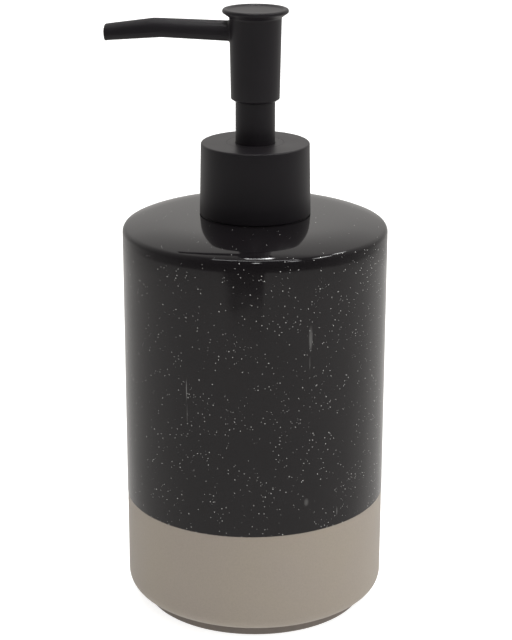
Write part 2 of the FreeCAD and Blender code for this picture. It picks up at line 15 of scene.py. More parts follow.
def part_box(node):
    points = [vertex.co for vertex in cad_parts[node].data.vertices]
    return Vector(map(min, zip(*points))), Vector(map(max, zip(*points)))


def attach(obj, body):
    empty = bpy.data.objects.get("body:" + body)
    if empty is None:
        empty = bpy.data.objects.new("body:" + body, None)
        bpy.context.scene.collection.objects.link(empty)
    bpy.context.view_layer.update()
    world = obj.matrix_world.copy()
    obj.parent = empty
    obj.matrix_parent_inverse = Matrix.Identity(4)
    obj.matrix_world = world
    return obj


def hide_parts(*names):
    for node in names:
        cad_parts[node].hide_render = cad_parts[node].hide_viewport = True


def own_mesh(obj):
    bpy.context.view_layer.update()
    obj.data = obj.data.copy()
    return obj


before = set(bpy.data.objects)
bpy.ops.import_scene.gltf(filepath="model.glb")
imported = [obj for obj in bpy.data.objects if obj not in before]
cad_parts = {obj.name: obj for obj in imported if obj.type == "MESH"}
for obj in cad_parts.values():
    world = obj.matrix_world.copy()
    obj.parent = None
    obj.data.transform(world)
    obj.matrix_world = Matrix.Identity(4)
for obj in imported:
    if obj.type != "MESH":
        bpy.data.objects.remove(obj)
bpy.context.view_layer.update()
MM = 0.001

# %% [markdown]
# ## Two small tools
# Node trees are long to write out, so one function adds a node, sets it up and links it.
# Colours are picked as sRGB hex, as a maker reads them off a swatch, and the shaders want
# linear light, so a second function turns one into the other.

# %% Add a node, and read a colour


def add(tree, kind, inputs=None, **settings):
    """Add a node and return its outputs. An input's value may be another node's output."""
    node = tree.nodes.new(kind)
    for name, value in settings.items():
        setattr(node, name, value)
    for key, value in (inputs or {}).items():
        if isinstance(value, bpy.types.NodeSocket):
            tree.links.new(value, node.inputs[key])
        else:
            node.inputs[key].default_value = value
    return node.outputs


def colour(swatch):
    """An sRGB hex swatch such as #8c8377, as linear red, green, blue and alpha."""
    channels = []
    for start in (1, 3, 5):
        value = int(swatch[start:start + 2], 16) / 255
        steep = ((value + 0.055) / 1.055) ** 2.4
        channels.append(value / 12.92 if value <= 0.04045 else steep)
    return (*channels, 1.0)


# %% [markdown]
# ## Turning with Geometry Nodes
# Nearly everything on this object is round about one upright axis: the bottle was cast and
# turned, and the pump's pieces are moulded round. So one tree turns an outline, given as
# points with their radius in x and their height in z. It lays out a flat grid with a column
# for each step round the axis and a row for each outline point, and then moves every grid
# point to its place. `Swell` pushes the surface in a little, here more and there less, which
# hand-finished ceramic needs and moulded plastic doesn't.

# %% A grid that knows its outline


def start_tree(name, sockets):
    """A geometry tree with named inputs. Returns the tree and what the inputs give."""
    tree = bpy.data.node_groups.new(name, "GeometryNodeTree")
    tree.interface.new_socket("Geometry", in_out="INPUT", socket_type="NodeSocketGeometry")
    for socket, kind in sockets.items():
        tree.interface.new_socket(socket, in_out="INPUT", socket_type=f"NodeSocket{kind}")
    tree.interface.new_socket("Geometry", in_out="OUTPUT", socket_type="NodeSocketGeometry")
    return tree, add(tree, "NodeGroupInput")


def lay_out(tree, given):
    """The grid, how far round each point is from 0 to 1, and its outline corner."""
    points = add(tree, "GeometryNodeAttributeDomainSize", {0: given["Geometry"]})
    points = points["Point Count"]
    columns = add(tree, "ShaderNodeMath", {0: given["Steps"], 1: 1.0}, operation="ADD")[0]
    grid = add(tree, "GeometryNodeMeshGrid", {"Vertices X": columns, "Vertices Y": points})[0]
    here = add(tree, "GeometryNodeInputPosition")[0]
    centred = add(tree, "ShaderNodeVectorMath", {0: here, 1: (0.5, 0.5, 0.0)})[0]
    across = add(tree, "ShaderNodeSeparateXYZ", {0: centred})
    last = add(tree, "ShaderNodeMath", {0: points, 1: 1.0}, operation="SUBTRACT")[0]
    row = add(tree, "ShaderNodeMath", {0: across["Y"], 1: last}, operation="MULTIPLY")[0]
    row = add(tree, "FunctionNodeFloatToInt", {0: row}, rounding_mode="ROUND")[0]
    corner = add(tree, "GeometryNodeSampleIndex", {
        "Geometry": given["Geometry"], "Value": here, "Index": row,
    }, data_type="FLOAT_VECTOR", domain="POINT")[0]
    return grid, across["X"], add(tree, "ShaderNodeSeparateXYZ", {0: corner})


def move_round(tree, grid, turn, radius, height):
    """Move each grid point to its turn, radius and height about the axis."""
    angle = add(tree, "ShaderNodeMath", {0: turn, 1: math.tau}, operation="MULTIPLY")[0]
    east = add(tree, "ShaderNodeMath", {0: angle}, operation="COSINE")[0]
    north = add(tree, "ShaderNodeMath", {0: angle}, operation="SINE")[0]
    x = add(tree, "ShaderNodeMath", {0: radius, 1: east}, operation="MULTIPLY")[0]
    y = add(tree, "ShaderNodeMath", {0: radius, 1: north}, operation="MULTIPLY")[0]
    place = add(tree, "ShaderNodeCombineXYZ", {0: x, 1: y, 2: height})[0]
    return add(tree, "GeometryNodeSetPosition", {"Geometry": grid, "Position": place})[0]


def end_tree(tree, geometry, given):
    """Real geometry with its material: what every tree here ends in."""
    whole = add(tree, "GeometryNodeRealizeInstances", {0: geometry})[0]
    made = add(tree, "GeometryNodeSetMaterial", {0: whole, "Material": given["Material"]})[0]
    add(tree, "NodeGroupOutput", {0: made})


# %% The turning tree


def turning_tree():
    tree, given = start_tree("turned piece", {
        "Steps": "Int", "Swell": "Float", "Swell Size": "Float", "Material": "Material",
    })
    grid, turn, corner = lay_out(tree, given)
    turned = move_round(tree, grid, turn, corner["X"], corner["Z"])
    here = add(tree, "GeometryNodeInputPosition")[0]
    often = add(tree, "ShaderNodeMath", {0: 1.0, 1: given["Swell Size"]}, operation="DIVIDE")[0]
    noise = add(tree, "ShaderNodeTexNoise", {
        "Vector": here, "Scale": often, "Detail": 1.0, "Roughness": 0.4,
    })[0]
    depth = add(tree, "ShaderNodeMath", {0: noise, 1: given["Swell"]}, operation="MULTIPLY")[0]
    inwards = add(tree, "ShaderNodeVectorMath", {0: here, 1: (-1, -1, 0)},
                  operation="MULTIPLY")[0]
    inwards = add(tree, "ShaderNodeVectorMath", {0: inwards}, operation="NORMALIZE")[0]
    push = add(tree, "ShaderNodeVectorMath", {0: inwards, "Scale": depth}, operation="SCALE")[0]
    swollen = add(tree, "GeometryNodeSetPosition", {"Geometry": turned, "Offset": push})[0]
    end_tree(tree, swollen, given)
    return tree


TURNING = turning_tree()
print("turning tree:", len(TURNING.nodes), "nodes")

# %% [markdown]
# ## Winding with Geometry Nodes
# The screw thread and the spring are the same idea with a climb added. `Pitch` lifts each
# turn by the same amount. A spring's end coils lie closed, so `Stretch` is shared out over
# the open coils alone. A thread fades into its wall over the first and last `Run Out` of a
# turn, so near its ends the section is drawn in towards `Root Radius`.

# %% The winding tree


def winding_tree():
    tree, given = start_tree("wound piece", {
        "Steps": "Int", "Turns": "Float", "Pitch": "Float", "Closed Turns": "Float",
        "Stretch": "Float", "Run Out": "Float", "Root Radius": "Float",
        "Material": "Material",
    })
    grid, share, corner = lay_out(tree, given)
    turn = add(tree, "ShaderNodeMath", {0: share, 1: given["Turns"]}, operation="MULTIPLY")[0]
    to_end = add(tree, "ShaderNodeMath", {0: given["Turns"], 1: turn}, operation="SUBTRACT")[0]
    near_end = add(tree, "ShaderNodeMath", {0: turn, 1: to_end}, operation="MINIMUM")[0]
    full = add(tree, "ShaderNodeMapRange", {
        "Value": near_end, "From Max": given["Run Out"],
    }, interpolation_type="SMOOTHSTEP")[0]
    height = add(tree, "ShaderNodeMath", {0: corner["X"], 1: given["Root Radius"]},
                 operation="SUBTRACT")[0]
    radius = add(tree, "ShaderNodeMath", {0: height, 1: full, 2: given["Root Radius"]},
                 operation="MULTIPLY_ADD")[0]
    open_end = add(tree, "ShaderNodeMath", {0: given["Turns"], 1: given["Closed Turns"]},
                   operation="SUBTRACT")[0]
    spread = add(tree, "ShaderNodeMapRange", {
        "Value": turn, "From Min": given["Closed Turns"], "From Max": open_end,
        "To Max": given["Stretch"],
    })[0]
    climb = add(tree, "ShaderNodeMath", {0: turn, 1: given["Pitch"], 2: spread},
                operation="MULTIPLY_ADD")[0]
    level = add(tree, "ShaderNodeMath", {0: corner["Z"], 1: climb}, operation="ADD")[0]
    end_tree(tree, move_round(tree, grid, turn, radius, level), given)
    return tree


WINDING = winding_tree()
print("winding tree:", len(WINDING.nodes), "nodes")

# %% [markdown]
# An outline is written as its sharp corners with a rounding for each, because that is how a
# drawing gives it. The next function swaps each rounded corner for an arc that touches both
# of its edges, and adds points along the long straights. The modifier's inputs are set by
# identifier before the object is ever evaluated, and the result is read back as a plain
# mesh, so nothing is left live.

# %% From an outline to a finished mesh
ARC_STEP = 7.5
MERGE_DISTANCE = 0.001 * MM
SPECK_OF_EDGE = 0.0001 * MM


def softened(corners, longest=4.0, arc_steps=None):
    """Points in mm round a closed outline whose corners are (radius, height, rounding)."""
    points = []
    for index, (radius, height, rounding) in enumerate(corners):
        here = Vector((radius, height))
        if rounding == 0:
            points.append(here)
            continue
        following = corners[(index + 1) % len(corners)]
        before = (Vector(corners[index - 1][:2]) - here).normalized()
        after = (Vector(following[:2]) - here).normalized()
        half = before.angle(after) / 2
        centre = here + (before + after).normalized() * (rounding / math.sin(half))
        start = here + before * (rounding / math.tan(half)) - centre
        end = here + after * (rounding / math.tan(half)) - centre
        sweep = start.angle_signed(end)
        steps = arc_steps or max(3, math.ceil(abs(math.degrees(sweep)) / ARC_STEP))
        for step in range(steps + 1):
            points.append(centre + Matrix.Rotation(-sweep * step / steps, 2) @ start)
    filled = []
    for index, point in enumerate(points):
        following = points[(index + 1) % len(points)]
        pieces = max(1, math.ceil((following - point).length / longest))
        filled += [point.lerp(following, piece / pieces) for piece in range(pieces)]
    return filled + [points[0]]


def evaluated_mesh(thing):
    """What an object's modifiers make of it, as a plain mesh. The object is removed."""
    depsgraph = bpy.context.evaluated_depsgraph_get()
    mesh = bpy.data.meshes.new_from_object(thing.evaluated_get(depsgraph))
    bpy.data.objects.remove(thing)
    return mesh


def close_up(mesh):
    """Merge the seam and the poles, cap open ends, and point every face outwards."""
    shell = bmesh.new()
    shell.from_mesh(mesh)
    bmesh.ops.remove_doubles(shell, verts=shell.verts, dist=MERGE_DISTANCE)
    bmesh.ops.dissolve_degenerate(shell, edges=shell.edges, dist=SPECK_OF_EDGE)
    loose = [edge for edge in shell.edges if edge.is_wire]
    bmesh.ops.delete(shell, geom=loose, context="EDGES")
    rims = [edge for edge in shell.edges if edge.is_boundary]
    bmesh.ops.holes_fill(shell, edges=rims, sides=0)
    bmesh.ops.recalc_face_normals(shell, faces=shell.faces)
    if shell.calc_volume(signed=True) < 0:
        bmesh.ops.reverse_faces(shell, faces=shell.faces)
    shell.to_mesh(mesh)
    shell.free()


def wear(mesh, *materials):
    """Give a mesh these material slots, with every face in the first."""
    mesh.materials.clear()
    for material in materials:
        mesh.materials.append(material)
    mesh.polygons.foreach_set("material_index", [0] * len(mesh.polygons))


def shaped(tree, outline, material, **sizes):
    """Turn or wind an outline given in mm, and return a closed mesh in metres."""
    line = bpy.data.meshes.new("outline")
    places = [(point.x * MM, 0, point.y * MM) for point in outline]
    line.from_pydata(places, [(i, i + 1) for i in range(len(places) - 1)], [])
    maker = bpy.data.objects.new("maker", line)
    bpy.context.scene.collection.objects.link(maker)
    modifier = maker.modifiers.new("shape", "NODES")
    modifier.node_group = tree
    values = dict(sizes, Material=material)
    for item in tree.interface.items_tree:
        wanted = item.name.replace(" ", "_")
        if item.in_out == "INPUT" and wanted in values:
            modifier[item.identifier] = values.pop(wanted)
    if values:
        raise ValueError(f"the tree has no input for {sorted(values)}")
    mesh = evaluated_mesh(maker)
    close_up(mesh)
    wear(mesh, material)
    return mesh


def put_together(name, mesh, body, node, sharp=32):
    """Make a piece: smooth but for its sharp edges, on a CAD body, for a CAD node."""
    mesh.name = name
    mesh.polygons.foreach_set("use_smooth", [True] * len(mesh.polygons))
    mesh.set_sharp_from_angle(angle=math.radians(sharp))
    piece = bpy.data.objects.new(name, mesh)
    bpy.context.scene.collection.objects.link(piece)
    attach(piece, body)
    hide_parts(node)
    triangles = sum(len(face.vertices) - 2 for face in mesh.polygons)
    print(f"{name}: {triangles} triangles")
    return piece


# %% [markdown]
# ## The glaze
# Stoneware under a dark gloss glaze: a thin film of glass, fired on. It is nearly black in
# itself, so almost all its light is a reflection. Pale unmelted grains lie in it in loose
# drifts, fewer of them on the left, and hardly any stayed on the shoulder. A Voronoi pattern
# in space makes them: each cell holds one grain, a random number decides whether the cell
# has one at all, and the surface cuts the grains at random depths, so their sizes vary by
# themselves. The pattern is turned askew, because its cells would line up on an upright wall.
# The shoulder is also painted a darker black than the wall: painted shade on its upward faces.

# %% Helpers for surface patterns
GRAIN_EDGE = 0.03
PALEST_FADE = 0.5


def new_material(name):
    """A material with an empty tree, and where each point is on the object."""
    material = bpy.data.materials.new(name)
    material.use_nodes = True
    tree = material.node_tree
    tree.nodes.clear()
    return material, tree, add(tree, "ShaderNodeTexCoord")["Object"]


def finish_material(tree, values):
    """The one shader of a material. Values that don't vary go straight on its sockets."""
    shader = add(tree, "ShaderNodeBsdfPrincipled", values)[0]
    add(tree, "ShaderNodeOutputMaterial", {0: shader})


def scattered(tree, where, spacing, smallest, largest, share):
    """Grains between two sizes, one in a share of the cells this far apart."""
    cells = add(tree, "ShaderNodeTexVoronoi", {"Vector": where, "Scale": 1 / spacing})
    chance = add(tree, "ShaderNodeSeparateColor", {0: cells["Color"]})
    present = add(tree, "ShaderNodeMath", {0: chance[0], 1: share}, operation="LESS_THAN")[0]
    reach = add(tree, "ShaderNodeMapRange", {
        "Value": chance[1], "To Min": smallest / spacing, "To Max": largest / spacing,
    })[0]
    inside = add(tree, "ShaderNodeMath", {0: reach, 1: cells["Distance"]},
                 operation="SUBTRACT")[0]
    spot = add(tree, "ShaderNodeMapRange", {
        "Value": inside, "From Min": 0.0, "From Max": GRAIN_EDGE,
    }, interpolation_type="SMOOTHSTEP")[0]
    paleness = add(tree, "ShaderNodeMapRange", {
        "Value": chance[2], "To Min": PALEST_FADE,
    })[0]
    spot = add(tree, "ShaderNodeMath", {0: spot, 1: paleness}, operation="MULTIPLY")[0]
    return add(tree, "ShaderNodeMath", {0: spot, 1: present}, operation="MULTIPLY")[0]


# %% [markdown]
# Where the molten film ran there are also a few faint upright marks. Each is an ellipsoid
# set into the wall at its place: a Mapping node centres, turns and scales the pattern, and
# whatever lies within one unit of its centre is inside.

# %% Dark glaze
wall_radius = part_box("ceramic_bottle")[1].x
GRAIN_SPACING = 0.6 * MM
GRAIN_SMALLEST = 0.02 * MM
GRAIN_LARGEST = 0.122 * MM
GRAIN_TURN = (0.785, 0.615, 0.2)
DRIFT_SIZE = 8 * MM
RIPPLE_SIZE = 4 * MM
# the share of cells that hold a grain between the drifts and in them, and what that share is
# multiplied by on the far left and on the shoulder; on the shoulder the same mask also mixes
# in a darker black, which is painted shade
BETWEEN_DRIFTS = 0.12
IN_DRIFTS = 0.66
ON_THE_LEFT = 0.3
ON_THE_SHOULDER = 0.16
# round from the camera's side in degrees, height, half width, half height in mm, strength
RUN_MARKS = [
    (23.7, 89.4, 0.75, 4.4, 0.075), (23.7, 87.8, 0.35, 2.4, 0.09), (23.4, 82.5, 0.2, 2.6, 0.05),
    (-29.8, 74.0, 0.22, 4.0, 0.13), (-29.6, 67.0, 0.2, 4.0, 0.045),
    (22.5, 42.0, 0.9, 1.5, 0.06), (38.0, 37.2, 0.35, 1.7, 0.07),
]
CAMERA_TURN = 11.0


def dark_glaze():
    material, tree, where = new_material("dark gloss stoneware glaze")
    drift = add(tree, "ShaderNodeTexNoise", {
        "Vector": where, "Scale": 1 / DRIFT_SIZE, "Detail": 2.0, "Roughness": 0.6,
    })[0]
    share = add(tree, "ShaderNodeMapRange", {
        "Value": drift, "From Min": 0.34, "From Max": 0.66, "To Min": BETWEEN_DRIFTS,
        "To Max": IN_DRIFTS,
    })[0]
    place = add(tree, "ShaderNodeSeparateXYZ", {0: where})
    thinner = add(tree, "ShaderNodeMapRange", {
        "Value": place["X"], "From Min": -29 * MM, "From Max": -17 * MM,
        "To Min": ON_THE_LEFT,
    })[0]
    share = add(tree, "ShaderNodeMath", {0: share, 1: thinner}, operation="MULTIPLY")[0]
    # less on the shoulder: fewer grains there, and painted shade, a darker black on its top
    # faces
    wall_share_and_painted_shade = add(tree, "ShaderNodeMapRange", {
        "Value": place["Z"], "From Min": 107 * MM, "From Max": 112 * MM,
        "To Min": 1.0, "To Max": ON_THE_SHOULDER,
    })[0]
    share = add(tree, "ShaderNodeMath", {0: share, 1: wall_share_and_painted_shade}, operation="MULTIPLY")[0]
    askew = add(tree, "ShaderNodeMapping", {"Vector": where, "Rotation": GRAIN_TURN})[0]
    marks = scattered(tree, askew, GRAIN_SPACING, GRAIN_SMALLEST, GRAIN_LARGEST, share)
    for turn, height, half_width, half_height, strength in RUN_MARKS:
        angle = math.radians(turn + CAMERA_TURN - 90)
        centre = (wall_radius * math.cos(angle), wall_radius * math.sin(angle), height * MM)
        local = add(tree, "ShaderNodeMapping", {
            "Vector": where, "Location": centre, "Rotation": (0, 0, angle),
            "Scale": (3 * MM, half_width * MM, half_height * MM),
        }, vector_type="TEXTURE")[0]
        off = add(tree, "ShaderNodeVectorMath", {0: local}, operation="LENGTH")["Value"]
        mark = add(tree, "ShaderNodeMapRange", {
            "Value": off, "From Min": 1.0, "From Max": 0.2, "To Max": strength,
        }, interpolation_type="SMOOTHSTEP")[0]
        marks = add(tree, "ShaderNodeMath", {0: marks, 1: mark}, operation="MAXIMUM")[0]
    deep = add(tree, "ShaderNodeMix", {
        0: drift, 6: colour("#151314"), 7: colour("#1a1819"),
    }, data_type="RGBA")[2]
    # painted shade: the shoulder is mixed towards a darker black than the wall
    body = add(tree, "ShaderNodeMix", {
        0: wall_share_and_painted_shade, 6: colour("#131113"), 7: deep,
    }, data_type="RGBA")[2]
    paint = add(tree, "ShaderNodeMix", {
        0: marks, 6: body, 7: colour("#f6f5f1"),
    }, data_type="RGBA")[2]
    ripple = add(tree, "ShaderNodeTexNoise", {
        "Vector": where, "Scale": 1 / RIPPLE_SIZE, "Detail": 1.0,
    })[0]
    bump = add(tree, "ShaderNodeBump", {
        "Strength": 0.04, "Distance": 0.1 * MM, "Height": ripple,
    })[0]
    finish_material(tree, {
        "Base Color": paint, "Roughness": 0.07, "IOR": 1.52, "Normal": bump,
    })
    return material


GLAZE = dark_glaze()
print("glaze:", len(GLAZE.node_tree.nodes), "nodes")

# %% [markdown]
# Below the glaze line the clay was left bare under a matt taupe engobe: no shine, a fine
# grain, and the faint warm and cool clouding that a brushed slip keeps after firing. The
# foot ring is painted a shade darker: painted shade where the body's overhang shadows it.

# %% Bare taupe clay
CLOUD_SIZE = 16 * MM
GRIT_SIZE = 0.45 * MM


def bare_clay():
    material, tree, where = new_material("matt taupe engobe on stoneware")
    clouds = add(tree, "ShaderNodeTexNoise", {
        "Vector": where, "Scale": 1 / CLOUD_SIZE, "Detail": 3.0,
    })[0]
    grit = add(tree, "ShaderNodeTexNoise", {
        "Vector": where, "Scale": 1 / GRIT_SIZE, "Detail": 3.0, "Roughness": 0.7,
    })[0]
    cloud = add(tree, "ShaderNodeMix", {
        0: clouds, 6: colour("#8f857c"), 7: colour("#928879"),
    }, data_type="RGBA")[2]
    pits = add(tree, "ShaderNodeMapRange", {
        "Value": grit, "From Min": 0.4, "From Max": 0.75, "To Max": 0.18,
    })[0]
    paint = add(tree, "ShaderNodeMix", {
        0: pits, 6: cloud, 7: colour("#665f57"),
    }, data_type="RGBA")[2]
    level = add(tree, "ShaderNodeSeparateXYZ", {0: where})["Z"]
    # painted shade: the foot ring, under the body's overhang, is mixed towards a darker taupe
    foot_painted_shade = add(tree, "ShaderNodeMapRange", {
        "Value": level, "From Min": 3.3 * MM, "From Max": 2.9 * MM,
    })[0]
    paint = add(tree, "ShaderNodeMix", {
        0: foot_painted_shade, 6: paint, 7: colour("#756c64"),
    }, data_type="RGBA")[2]
    bump = add(tree, "ShaderNodeBump", {
        "Strength": 0.35, "Distance": 0.05 * MM, "Height": grit,
    })[0]
    finish_material(tree, {
        "Base Color": paint, "Roughness": 0.6, "IOR": 1.5, "Normal": bump,
        "Sheen Weight": 0.1, "Sheen Roughness": 0.5,
    })
    return material


CLAY = bare_clay()
print("clay:", len(CLAY.node_tree.nodes), "nodes")

# %% [markdown]
# ## The plastics, foam and silicone of the pump
# The outside is black polypropylene from a finely spark-eroded mould: satin, not glossy, so
# highlights spread into soft bands. The inside pieces are undyed, milky plastics that differ
# mostly in how waxy they look, apart from the foamed gasket, which is chalky, and the bead of
# silicone, which is milky with a soft shine. All share one recipe with different values: two
# close tones where the melt flowed, and the fine grain of the mould. A real mould's grain is
# finer than a tenth of a millimetre; it is drawn two to three times as coarse, so it shows.

# %% One recipe for everything moulded
FLOW_SIZE = 9 * MM


def moulded(name, swatch, flow_swatch, roughness, grain, relief, milkiness=0.0):
    material, tree, where = new_material(name)
    skin = add(tree, "ShaderNodeTexNoise", {
        "Vector": where, "Scale": 1 / grain, "Detail": 2.0,
    })[0]
    flow = add(tree, "ShaderNodeTexNoise", {
        "Vector": where, "Scale": 1 / FLOW_SIZE, "Detail": 1.0,
    })[0]
    paint = add(tree, "ShaderNodeMix", {
        0: flow, 6: colour(swatch), 7: colour(flow_swatch),
    }, data_type="RGBA")[2]
    dullness = add(tree, "ShaderNodeMapRange", {
        "Value": flow, "To Min": roughness - 0.04, "To Max": roughness + 0.04,
    })[0]
    bump = add(tree, "ShaderNodeBump", {
        "Strength": relief, "Distance": 0.02 * MM, "Height": skin,
    })[0]
    finish_material(tree, {
        "Base Color": paint, "Roughness": dullness, "IOR": 1.49, "Normal": bump,
        "Subsurface Weight": milkiness, "Subsurface Radius": (MM, MM, MM),
    })
    return material


BLACK = moulded("satin black polypropylene", "#151316", "#191619", 0.40, 0.25 * MM, 0.25)
NATURAL = moulded("natural polypropylene", "#dcdcd6", "#d2d2cb", 0.34, 0.3 * MM, 0.1, 0.3)
WAXY = moulded("natural polyethylene", "#dfe1df", "#d5d8d6", 0.42, 0.3 * MM, 0.1, 0.4)
FOAM = moulded("foamed polyethylene", "#e4e3de", "#d8d7d1", 0.7, 0.15 * MM, 0.6)
SILICONE = moulded("silicone adhesive", "#cfcfca", "#c3c4bf", 0.3, 0.6 * MM, 0.2, 0.3)
print("moulded:", [material.name for material in (BLACK, NATURAL, WAXY, FOAM, SILICONE)])

# %% [markdown]
# The spring is drawn stainless wire, with a faint die haze that changes along it. The check
# ball is soda-lime glass, clear with a few seeds.

# %% Drawn steel and glass
HAZE_SIZE = 0.2 * MM
SEED_SIZE = 0.8 * MM


def drawn_steel():
    material, tree, where = new_material("drawn stainless wire")
    haze = add(tree, "ShaderNodeTexNoise", {
        "Vector": where, "Scale": 1 / HAZE_SIZE, "Detail": 2.0,
    })[0]
    dullness = add(tree, "ShaderNodeMapRange", {
        "Value": haze, "To Min": 0.16, "To Max": 0.34,
    })[0]
    finish_material(tree, {
        "Base Color": colour("#c8c7c4"), "Metallic": 1.0, "Roughness": dullness,
    })
    return material


def ball_glass():
    material, tree, where = new_material("soda-lime glass")
    seeds = add(tree, "ShaderNodeTexNoise", {"Vector": where, "Scale": 1 / SEED_SIZE})[0]
    dullness = add(tree, "ShaderNodeMapRange", {
        "Value": seeds, "To Min": 0.01, "To Max": 0.06,
    })[0]
    finish_material(tree, {
        "Base Color": colour("#e9f1ee"), "Transmission Weight": 1.0, "IOR": 1.52,
        "Roughness": dullness,
    })
    return material


STEEL = drawn_steel()
GLASS = ball_glass()
print("spring and ball:", STEEL.name, "and", GLASS.name)

# %% [markdown]
# ## The bottle
# On the real object this is one slip-cast piece: a straight wall, a low domed shoulder and a
# foot ring set in from the edge. The outline runs once round the section of its wall. The
# dome is almost level at the mouth and falls away more and more steeply, to 25 degrees at
# its edge, so its points are stepped off from the mouth outwards. The glaze stands a tenth
# of a millimetre proud of the clay and ends in a soft roll, and the whole surface swells a
# little, which bends the reflections as hand-finished ceramic does. A pot that is dipped by
# hand never comes out with a level glaze line, so this one slopes by a millimetre from one
# side to the other: the points of its edge are moved after the turning.

# %% The glazed bottle
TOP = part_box("ceramic_bottle")[1].z / MM
GLAZE_LINE = 32.9
GLAZE_FILM = 0.10
GLAZE_DROP = 0.5
WALL = 4.0
FOOT = 3.2
FOOT_RADIUS = 32.0
RECESS_RADIUS = 27.5
RECESS = 1.4
FLOOR_TOP = 7.5
SLEEVE_BORE = 13.6
SLEEVE_WIDE = 17.6
glazed = wall_radius / MM - 0.01
bare = glazed - GLAZE_FILM
inner = glazed - WALL
mouth_top = 15.35
DOME_END = 35.8
DOME_EDGE = 36.1
DOME_STEP = 0.75
DOME_FIRST_SLOPE = 1.7
DOME_ADDED_SLOPE = 23.1
DOME_BEND = 2.25
dome = []
radius = mouth_top + 0.5
height = TOP - 0.03
while radius < DOME_END:
    dome.append((radius, height, 0.0))
    share = (radius - mouth_top) / (DOME_EDGE - mouth_top)
    fall = math.tan(math.radians(DOME_FIRST_SLOPE + DOME_ADDED_SLOPE * share ** DOME_BEND))
    radius += DOME_STEP
    height -= DOME_STEP * fall
shoulder_edge = height - (glazed - radius) * math.tan(math.radians(24.5))
print("dome:", len(dome), "points, edge at", round(shoulder_edge, 2))
bottle_outline = softened([
    (RECESS_RADIUS, 0.0, 0.5), (FOOT_RADIUS, 0.0, 0.6), (FOOT_RADIUS, FOOT, 0.3),
    (bare, FOOT, 4.2),
    (bare, GLAZE_LINE, 0.0), (glazed, GLAZE_LINE + 0.15, 0.08),
    (glazed, shoulder_edge, 1.88), *reversed(dome), (mouth_top, TOP - 0.02, 0.2),
    (mouth_top, TOP - 1.5, 0.0), (SLEEVE_BORE, TOP - 1.5, 0.0),
    (SLEEVE_BORE, TOP - 11.0, 0.6), (SLEEVE_WIDE, TOP - 11.0, 0.6),
    (SLEEVE_WIDE, 110.7, 1.0), (inner, 108.2, 5.0), (inner, FLOOR_TOP, 5.0),
    (0.0, FLOOR_TOP, 0.0), (0.0, RECESS, 0.0), (RECESS_RADIUS, RECESS, 0.5),
], longest=2.0)
bottle_mesh = shaped(TURNING, bottle_outline, GLAZE, Steps=256, Swell=0.07 * MM,
                     Swell_Size=15 * MM)
wear(bottle_mesh, GLAZE, CLAY)
for face in bottle_mesh.polygons:
    low = face.center.z < (GLAZE_LINE + 0.05) * MM
    outside = face.center.xy.length > wall_radius - 2 * MM or face.center.z < 6.5 * MM
    face.material_index = 1 if low and outside else 0
for point in bottle_mesh.vertices:
    at_line = -0.01 < point.co.z / MM - GLAZE_LINE < 0.25
    if at_line and point.co.xy.length > wall_radius - MM:
        to_left = -point.co.x * math.cos(math.radians(CAMERA_TURN))
        to_left -= point.co.y * math.sin(math.radians(CAMERA_TURN))
        point.co.z -= GLAZE_DROP * MM * (0.5 + to_left / wall_radius)
put_together("glazed_bottle", bottle_mesh, "bottle", "ceramic_bottle")

# %% [markdown]
# ## The closure, the stem and its guide
# Three plain turnings. Their corners are only just broken, as a mould leaves them, and that
# thin rounded edge is what catches the light. The closure comes down 0.4 mm nearer to the
# dome than its CAD model, so the joint between them reads as a fine line and not as a slot.

# %% The screw closure
collar_low, collar_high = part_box("closure_collar")
collar_foot = collar_low.z / MM - 0.4
collar_top = collar_high.z / MM
collar_wide = collar_high.x / MM
guide_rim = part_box("stem_guide")[1].x / MM
SCREW_BORE = 13.1
PUMP_BORE = 7.09
closure_outline = softened([
    (collar_wide - 1.5, collar_foot, 0.2), (collar_wide, collar_foot, 0.3),
    (collar_wide - 0.4, collar_top, 0.5), (guide_rim + 0.02, collar_top, 0.03),
    (guide_rim + 0.02, collar_top - 0.8, 0.0), (PUMP_BORE, collar_top - 0.8, 0.0),
    (PUMP_BORE, collar_top - 1.6, 0.0), (SCREW_BORE, collar_top - 1.6, 0.3),
    (SCREW_BORE, collar_top - 6.6, 0.0), (collar_wide - 1.5, collar_top - 6.6, 0.0),
])
closure_mesh = shaped(TURNING, closure_outline, BLACK, Steps=160)
put_together("closure_shell", closure_mesh, "closure", "closure_collar")

# %% The stem and the guide that it slides in
stem_low, stem_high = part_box("stem_tube")
stem_foot = stem_low.z / MM
stem_top = stem_high.z / MM
STOP_RING = 1.0
STEM_WALL = 1.2
STEM = stem_high.x / MM - STOP_RING
stem_outline = softened([
    (STEM - STEM_WALL, stem_foot, 0.1), (STEM + STOP_RING, stem_foot, 0.2),
    (STEM + STOP_RING, stem_foot + 2, 0.2), (STEM, stem_foot + 2, 0.0),
    (STEM, stem_top, 0.2), (STEM - STEM_WALL, stem_top, 0.1),
])
stem_mesh = shaped(TURNING, stem_outline, BLACK, Steps=96)
put_together("sliding_stem", stem_mesh, "plunger", "stem_tube")
guide_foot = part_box("stem_guide")[0].z / MM
guide_outline = softened([
    (STEM + 0.06, guide_foot, 0.1), (guide_rim - 0.95, guide_foot, 0.2),
    (guide_rim - 0.95, collar_top - 0.77, 0.0), (guide_rim, collar_top - 0.77, 0.0),
    (guide_rim, collar_top - 0.01, 0.03), (STEM + 0.06, collar_top - 0.01, 0.12),
])
guide_mesh = shaped(TURNING, guide_outline, BLACK, Steps=96)
put_together("guide_ring", guide_mesh, "pump_core", "stem_guide")

# %% [markdown]
# ## The head and its spout
# One moulding: a column that widens slightly upwards, a flare under a dished thumb rest, and
# a long spout that bends down once. The column is turned like the others.

